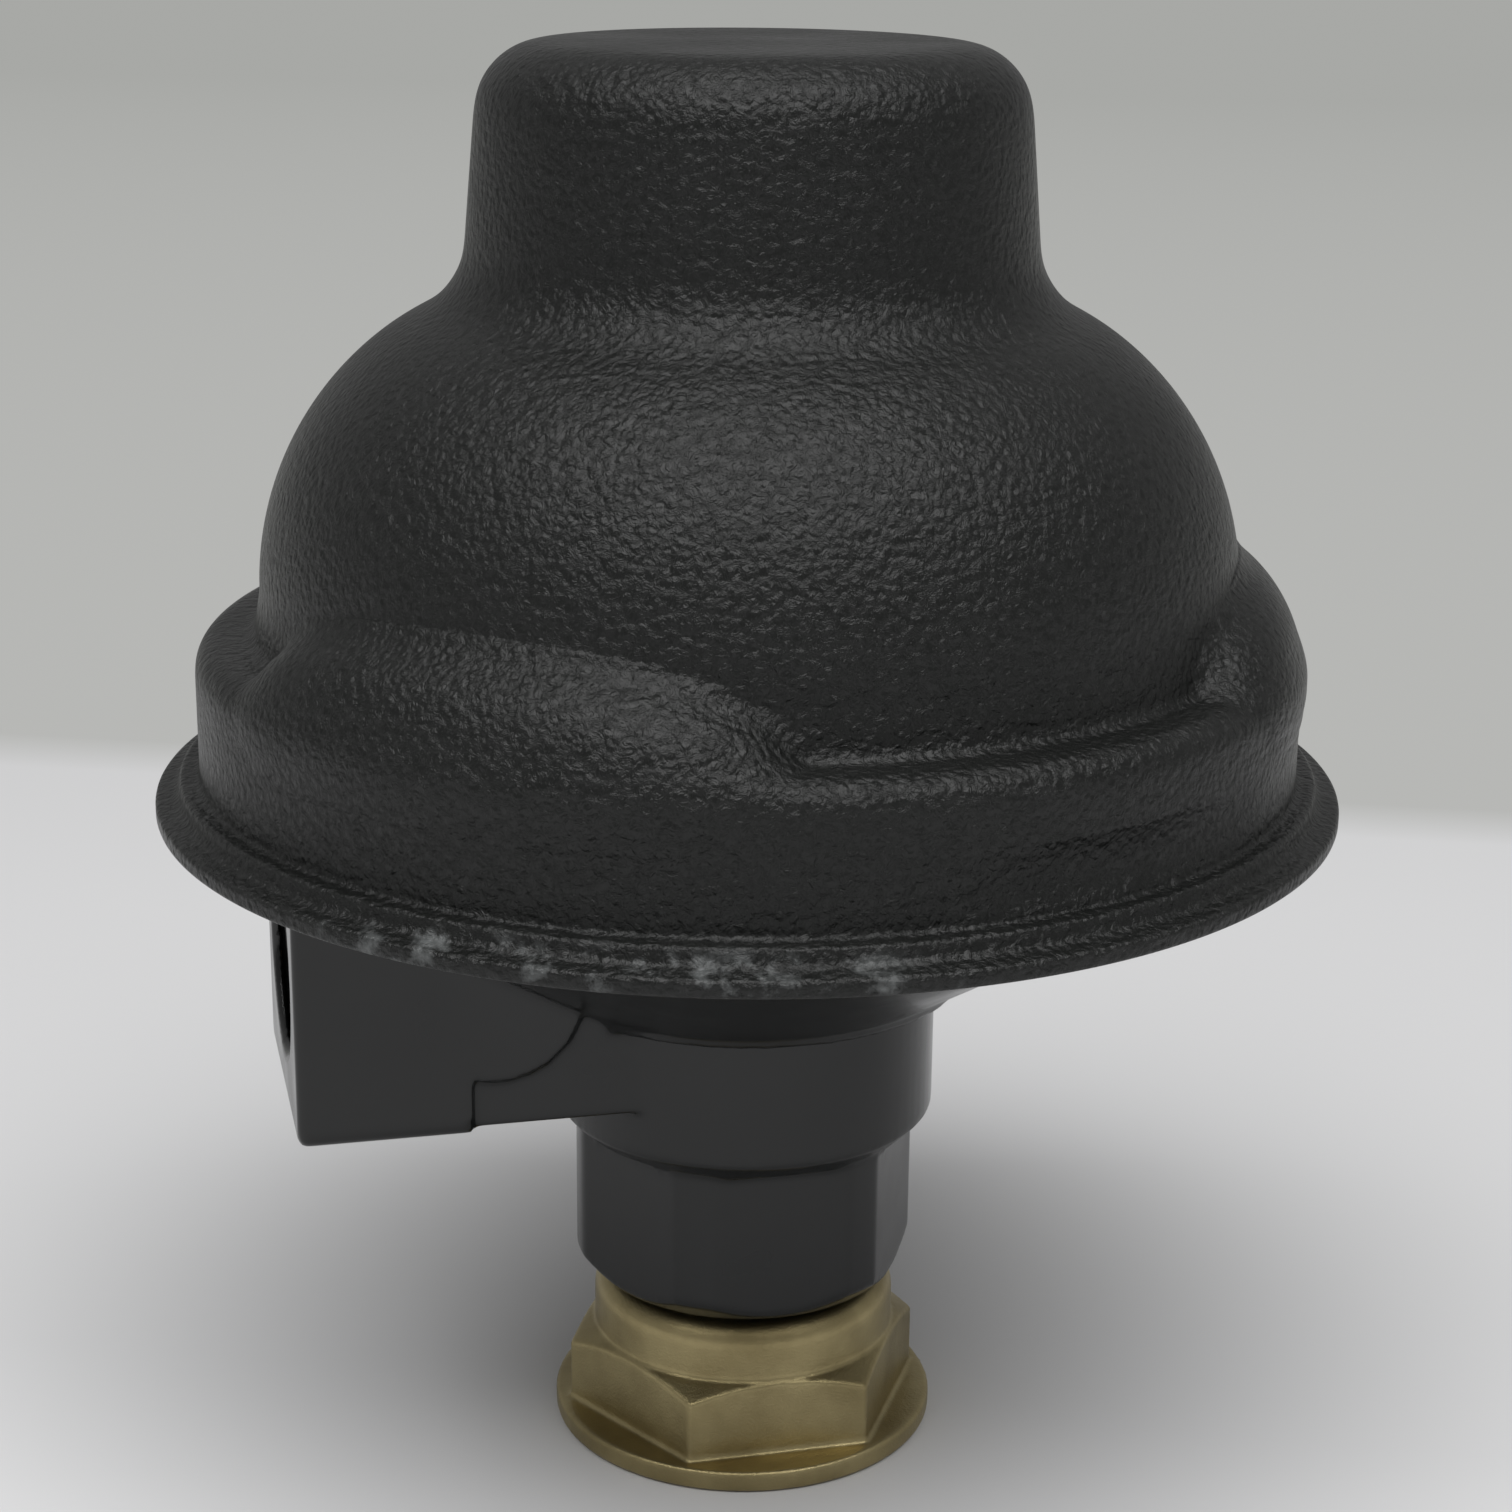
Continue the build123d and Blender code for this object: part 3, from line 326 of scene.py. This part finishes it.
def rounded(corners, spacing=0.25):
    """A line through corners (r, z, round), evenly divided and softened by each corner's round."""
    line = np.array([corner[:2] for corner in corners], float)
    steps = np.hypot(*np.diff(line, axis=0).T)
    along = np.concatenate([[0], np.cumsum(steps)])
    count = int(along[-1] / spacing) + 1
    evenly = np.linspace(0, along[-1], count)
    points = np.stack([np.interp(evenly, along, line[:, axis]) for axis in (0, 1)], 1)
    width = np.full(count, 0.02)
    for index in range(1, len(corners) - 1):
        ahead, behind = line[index + 1] - line[index], line[index] - line[index - 1]
        turned = np.arccos(np.clip(ahead @ behind / np.hypot(*ahead) / np.hypot(*behind), -1, 1))
        if corners[index][2] > 0:
            sigma = corners[index][2] * (1 / cos(turned / 2) - 1) / (0.8 * sin(turned / 2))
            place_on_line = along[index]
            width = np.maximum(width, sigma * np.exp(-(((evenly - place_on_line) / (2.4 * sigma)) ** 2)))
    before = 2 * points[0] - points[1:60][::-1]
    after = 2 * points[-1] - points[-60:-1][::-1]
    after[:, 1] = points[-60:-1][::-1][:, 1]
    wide = np.concatenate([before, points, after])
    place_wide = np.arange(-59, count + 59) * (evenly[1] - evenly[0])
    weight = np.exp(-0.5 * ((evenly[:, None] - place_wide[None, :]) / width[:, None]) ** 2)
    weight /= weight.sum(1, keepdims=True)
    return weight @ wide


def dome_corners(inset):
    """The hood above its shelf: wall, dome, neck and crown."""
    dome = HOOD_DOME_ROUND - inset
    high = acos((HOOD_CAP_BASE_RADIUS - inset - HOOD_DOME_CENTRE_RADIUS) / dome)
    corners = [(HOOD_FOOT_RADIUS - inset, HOOD_SHELF_HEIGHT - inset, HOOD_SHELF_FILLET + inset)]
    for step in range(HOOD_DOME_STEPS + 1):
        angle = high * step / HOOD_DOME_STEPS
        r = HOOD_DOME_CENTRE_RADIUS + dome * cos(angle)
        z = HOOD_DOME_CENTRE_HEIGHT + dome * sin(angle)
        corners.append((r, z, HOOD_NECK_FILLET if step == HOOD_DOME_STEPS else 0))
    corners.append((HOOD_CAP_TOP_RADIUS - inset, HOOD_HEIGHT - inset, HOOD_CROWN_ROUND - inset))
    corners.append((0, HOOD_HEIGHT - inset, 0))
    return corners


def hood_outline():
    return rounded(
        [
            (HOOD_LIP_RADIUS - 0.4, 0, 0),
            (HOOD_LIP_RADIUS, 0, 0.35),
            (HOOD_LIP_RADIUS, HOOD_WALL, 0.5),
            (HOOD_RIDGE_RADIUS + 0.3, HOOD_WALL + 0.4, 1.0),
            (HOOD_RIDGE_RADIUS, HOOD_RIDGE_HEIGHT, 0.5),
            (HOOD_BAND_RADIUS, HOOD_RIDGE_HEIGHT, 0.6),
            (HOOD_BAND_RADIUS, HOOD_SHELF_HEIGHT, HOOD_SHELF_ROUND),
            *dome_corners(0),
        ]
    )


def hollow_outline():
    band = HOOD_BAND_RADIUS - HOOD_WALL
    ridge = HOOD_RIDGE_RADIUS - HOOD_WALL
    return rounded(
        [
            (ridge + 0.6, 0, 0),
            (ridge, 0.6, 0.5),
            (ridge, HOOD_RIDGE_HEIGHT - HOOD_WALL, 0.4),
            (band, HOOD_RIDGE_HEIGHT - HOOD_WALL, 0.4),
            (band, HOOD_SHELF_HEIGHT - HOOD_WALL, HOOD_SHELF_ROUND - HOOD_WALL),
            *dome_corners(HOOD_WALL),
        ],
        0.6,
    )


def distance_table(line, size=90.0, step=0.4):
    """Distance to the outline over a grid of r and z."""
    axis = np.arange(0, size, step)
    r, z = np.meshgrid(axis, axis - 5, indexing="ij")
    best = np.full(r.shape, 1e9)
    for point in line[::2]:
        best = np.minimum(best, (r - point[0]) ** 2 + (z - point[1]) ** 2)
    return np.sqrt(best)


def look_up(table, r, z, step=0.4):
    i = np.clip(r / step, 0, table.shape[0] - 1.001)
    j = np.clip((z + 5) / step, 0, table.shape[1] - 1.001)
    a, b = i.astype(int), j.astype(int)
    u, v = i - a, j - b
    return (
        table[a, b] * (1 - u) * (1 - v)
        + table[a + 1, b] * u * (1 - v)
        + table[a, b + 1] * (1 - u) * v
        + table[a + 1, b + 1] * u * v
    )


def bulge_distance(r, z, turn, inset):
    """Distance to the nearest bulge, each a spheroid lying along the rim."""
    nearest = np.full(np.broadcast(r, turn).shape, 1e9)
    round_radius = HOOD_BULGE_RADIUS - inset
    long_radius = HOOD_BULGE_HALF_LENGTH - inset
    for angle in HOOD_BULGE_ANGLES:
        off = turn - radians(angle)
        out = r * np.cos(off) - HOOD_BULGE_PLACE
        side = r * np.sin(off)
        across = out**2 + (z - HOOD_BULGE_HEIGHT) ** 2
        k0 = np.sqrt(side**2 / long_radius**2 + across / round_radius**2) + 1e-9
        k1 = np.sqrt(side**2 / long_radius**4 + across / round_radius**4) + 1e-9
        nearest = np.minimum(nearest, k0 * (k0 - 1) / k1)
    return nearest


def hood_surface(line, inset, turns):
    """The outline turned about the axis and drawn out over the bulges, as points by turn and outline."""
    table = distance_table(line)
    out = line - np.array([20.0, -40.0])
    out /= np.hypot(out[:, 0], out[:, 1])[:, None]
    turn = (np.arange(turns) * 2 * pi / turns)[:, None]
    march = np.zeros((turns, len(line)))
    for step in range(28):
        r = line[None, :, 0] + march * out[None, :, 0]
        z = line[None, :, 1] + march * out[None, :, 1]
        base = np.where(march > 0.02, look_up(table, r, z), march)
        bulge = bulge_distance(r, z, turn, inset)
        blend = np.clip(0.5 + 0.5 * (bulge - base) / HOOD_BLEND, 0, 1)
        field = bulge * (1 - blend) + base * blend - HOOD_BLEND * blend * (1 - blend)
        march = np.maximum(0, march - 0.8 * field)
    fade = np.clip((line[:, 1] - 4.5) / 3.0, 0, 1)
    march *= (fade * fade * (3 - 2 * fade))[None, :]
    r = line[None, :, 0] + march * out[None, :, 0]
    z = line[None, :, 1] + march * out[None, :, 1]
    if inset == 0:
        across = np.clip(1 - ((turn - DENT_TURN) / DENT_HALF_TURN) ** 2, 0, 1)
        up = np.clip(1 - ((z - DENT_HEIGHT) / DENT_HALF_HEIGHT) ** 2, 0, 1)
        r = r - DENT_DEPTH * across * up
    return np.stack([r * np.cos(turn), r * np.sin(turn), z + 0 * turn], 2)


def hood_sheet():
    """The hood as one thin sheet: outer surface, inner surface and the cut edge of the lip."""
    turns = HOOD_TURNS
    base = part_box("protective_hood")[0].z
    outer = hood_surface(hood_outline(), 0, turns)[:, :-1]
    inner = hood_surface(hollow_outline(), HOOD_WALL, turns)[:, ::-1][:, 1:]
    rings = np.concatenate([inner, outer], 1) * MM
    rings[:, :, 2] += base
    count = rings.shape[1]
    points = list(rings.reshape(-1, 3))
    crown = len(points)
    points.append((0, 0, base + HOOD_HEIGHT * MM))
    under = len(points)
    points.append((0, 0, base + (HOOD_HEIGHT - HOOD_WALL) * MM))
    faces = []
    for turn in range(turns):
        here, there = turn * count, (turn + 1) % turns * count
        for place_on in range(count - 1):
            faces.append((here + place_on, there + place_on, there + place_on + 1, here + place_on + 1))
        faces.append((here + count - 1, there + count - 1, crown))
        faces.append((there, here, under))
    hood = mesh_piece("hood_sheet", points, faces, "hood_plastic", "hood")
    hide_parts("protective_hood")
    return hood


def add_block(data, low, high):
    """Adds a plain block to a mesh, to be merged with it."""
    middle = (Vector(low) + Vector(high)) / 2 * MM
    size = (Vector(high) - Vector(low)) * MM
    shape = bmesh.new()
    shape.from_mesh(data)
    bmesh.ops.create_cube(shape, size=1, matrix=Matrix.Translation(middle) @ Matrix.Diagonal((*size, 1)))
    shape.to_mesh(data)
    shape.free()


def softened(name, source, slot, body, voxel, rounds, blocks=()):
    """A CAD node's form with its edges and corners softened, as a casting or forging has them."""
    piece = bpy.data.objects.new(name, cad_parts[source].data.copy())
    for low, high in blocks:
        add_block(piece.data, low, high)
    bpy.context.scene.collection.objects.link(piece)
    remesh = piece.modifiers.new("even", "REMESH")
    remesh.mode = "VOXEL"
    remesh.voxel_size = voxel * MM
    smooth = piece.modifiers.new("soft", "SMOOTH")
    smooth.factor = 0.5
    smooth.iterations = rounds
    bpy.context.view_layer.update()
    seen = piece.evaluated_get(bpy.context.evaluated_depsgraph_get())
    data = bpy.data.meshes.new_from_object(seen)
    piece.modifiers.clear()
    piece.data = data
    data.name = name
    data.materials.clear()
    data.materials.append(materials[slot])
    data.polygons.foreach_set("use_smooth", [True] * len(data.polygons))
    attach(piece, body)
    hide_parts(source)
    return piece


def widen(piece, axis, height, span, crest, root):
    """Moves a hole's wall outwards, behind its thread."""
    data = piece.data
    points = np.empty(3 * len(data.vertices))
    data.vertices.foreach_get("co", points)
    points = points.reshape(-1, 3) / MM
    across = points - np.array([0, 0, height])
    across[:, axis] = 0
    radius = np.linalg.norm(across, axis=1)
    in_span = (points[:, axis] > span[0]) & (points[:, axis] < span[1])
    wall = in_span & (radius > 0.8 * crest) & (radius < crest + THREAD_BACK)
    points[wall] += across[wall] / radius[wall, None] * (root + THREAD_BACK / 2 - radius[wall, None])
    data.vertices.foreach_set("co", (points * MM).ravel())
    data.update()


def thread(name, axis, height, span, crest, root, slot, body):
    """A threaded hole's inside: a tube whose inner wall is a helical ridge."""
    steps = int((span[1] - span[0]) / PITCH * THREAD_STEPS)
    rings = []
    for step in range(steps + 1):
        along = span[0] + (span[1] - span[0]) * step / steps
        rings.append((along, True))
    rings += [(along, False) for along in (span[1], span[0])]
    points, faces = [], []
    for along, threaded in rings:
        for side in range(THREAD_SIDES):
            turn = 2 * pi * side / THREAD_SIDES
            phase = (along / PITCH + side / THREAD_SIDES) % 1
            depth = min(1, max(0, 1.2 * abs(2 * phase - 1) - 0.1))
            radius = crest + (root - crest) * depth if threaded else root + THREAD_BACK
            a, b = radius * cos(turn), radius * sin(turn)
            point = (along, a, height + b) if axis == 0 else (a, b, along)
            points.append(tuple(part * MM for part in point))
    count = len(rings)
    for ring in range(count):
        here, ahead = ring * THREAD_SIDES, (ring + 1) % count * THREAD_SIDES
        for side in range(THREAD_SIDES):
            beside = (side + 1) % THREAD_SIDES
            faces.append((here + side, ahead + side, ahead + beside, here + beside))
    return mesh_piece(name, points, faces, slot, body)


# Studio

def floor_material():
    """Pale paper under the object, painted paler towards the front as painted light, turning behind it into a
    greyer backdrop that glows as painted light and darkens farther away as painted shade.
    """
    made, tree, shader = new_material("studio_floor", FLOOR_COLOUR, roughness=0.9)
    shader.inputs["Specular IOR Level"].default_value = 0.1
    away = (cos(BACK_TURN), sin(BACK_TURN), 0)
    behind = node(
        tree, "ShaderNodeVectorMath", {0: place(tree), 1: away}, operation="DOT_PRODUCT"
    ).outputs["Value"]
    # Painted light: the floor colour turns paler towards the front
    painted_light_share = remap(tree, behind, FLOOR_PAINTED_LIGHT_START, 0.0, 0.0, 1.0)
    tree.links.new(mix_colours(tree, painted_light_share, FLOOR_FRONT_PAINTED_LIGHT, FLOOR_COLOUR), shader.inputs["Base Color"])
    # Painted light: beyond BACK_START camera, glossy and transmission rays see a glowing backdrop, darkening
    # farther away as painted shade
    share = remap(tree, behind, BACK_START, BACK_FULL, 0.0, 1.0)
    tone = remap(tree, behind, BACK_FULL, BACK_FAR, 0.0, 1.0)
    backdrop = mix_colours(tree, tone, BACKDROP_GLOW_NEAR, BACKDROP_SHADED_GLOW_FAR)
    glow = node(tree, "ShaderNodeEmission", {"Color": backdrop})
    rays = node(tree, "ShaderNodeLightPath").outputs
    seen = maths(tree, "MAXIMUM", rays["Is Camera Ray"], rays["Is Glossy Ray"])
    seen = maths(tree, "MAXIMUM", seen, rays["Is Transmission Ray"])
    seen = maths(tree, "MULTIPLY", share, seen)
    both = node(
        tree, "ShaderNodeMixShader", {0: seen, 1: shader.outputs["BSDF"], 2: glow.outputs["Emission"]}
    )
    tree.links.new(both.outputs["Shader"], tree.nodes["Material Output"].inputs["Surface"])
    return made


def studio():
    bpy.ops.mesh.primitive_plane_add(size=FLOOR_SIZE)
    floor = bpy.context.object
    floor.name = "studio_floor"
    floor.data.materials.append(floor_material())
    lamp = bpy.data.lights.new("softbox", "AREA")
    lamp.shape = "RECTANGLE"
    lamp.size, lamp.size_y = SOFTBOX_SIZE
    lamp.energy = SOFTBOX_RADIANCE * pi * SOFTBOX_SIZE[0] * SOFTBOX_SIZE[1]
    holder = bpy.data.objects.new("softbox", lamp)
    bpy.context.scene.collection.objects.link(holder)
    turned = Matrix.Rotation(-CAMERA_TURN, 4, "Z")
    holder.location = turned @ Vector(SOFTBOX_PLACE)
    holder.rotation_euler = (0, 0, -CAMERA_TURN)
    world = bpy.data.worlds.new("studio")
    world.use_nodes = True
    sky = world.node_tree.nodes["Background"]
    sky.inputs["Color"].default_value = (1, 1, 1, 1)
    sky.inputs["Strength"].default_value = WORLD_STRENGTH
    bpy.context.scene.world = world


def camera():
    lens = bpy.data.cameras.new("camera")
    lens.sensor_width = SENSOR_WIDTH
    lens.lens = SENSOR_WIDTH * FOCAL_PIXELS / PHOTO_SIZE
    lens.clip_start = 0.01
    seer = bpy.data.objects.new("camera", lens)
    bpy.context.scene.collection.objects.link(seer)
    turned = Matrix.Rotation(-CAMERA_TURN, 4, "Z")
    seat = Vector((CAMERA_SIDE, -CAMERA_DISTANCE, CAMERA_HEIGHT))
    tilt = Matrix.Rotation(pi / 2 - CAMERA_PITCH, 4, "X") @ Matrix.Rotation(CAMERA_ROLL, 4, "Z")
    seer.matrix_world = turned @ Matrix.Translation(seat) @ tilt
    bpy.context.scene.camera = seer


node_slots = {
    "black_casting": ["valve_body", "bonnet_casing"],
    "turned_brass": ["inlet_tailpiece", "nozzle", "valve_plunger", "relief_retainer", "adjusting_screw"],
    "rubber": ["inlet_gasket", "seat_disc", "diaphragm", "cap_seal"],
    "zinc_steel": [
        "inlet_filter", "lever", "lever_pin", "lower_plate", "upper_plate", "vent_screen", "casing_screws",
    ],
    "cast_aluminium": ["valve_guide", "stem", "spring_button"],
    "spring_steel": ["relief_spring", "main_spring"],
    "cap_plastic": ["closing_cap"],
}
for slot, names in node_slots.items():
    for name in names:
        dress(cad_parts[name], slot)

hood_sheet()
nut = softened("forged_nut", "union_nut", "forged_brass", "inlet_nut", 0.25, 6)
widen(nut, 2, 0, NUT_SPAN, NUT_CREST, NUT_ROOT)
thread("nut_thread", 2, 0, NUT_SPAN, NUT_CREST, NUT_ROOT, "forged_brass", "inlet_nut")
casting = softened("cast_body", "valve_body", "black_casting", "regulator", 0.4, 5, LINK_FOOT)
widen(casting, 0, OUTLET_HEIGHT, OUTLET_SPAN, OUTLET_CREST, OUTLET_ROOT)
thread(
    "outlet_thread", 0, OUTLET_HEIGHT, OUTLET_SPAN, OUTLET_CREST, OUTLET_ROOT, "black_casting", "regulator"
)
studio()
camera()

bpy.context.scene.view_settings.view_transform = "Standard"
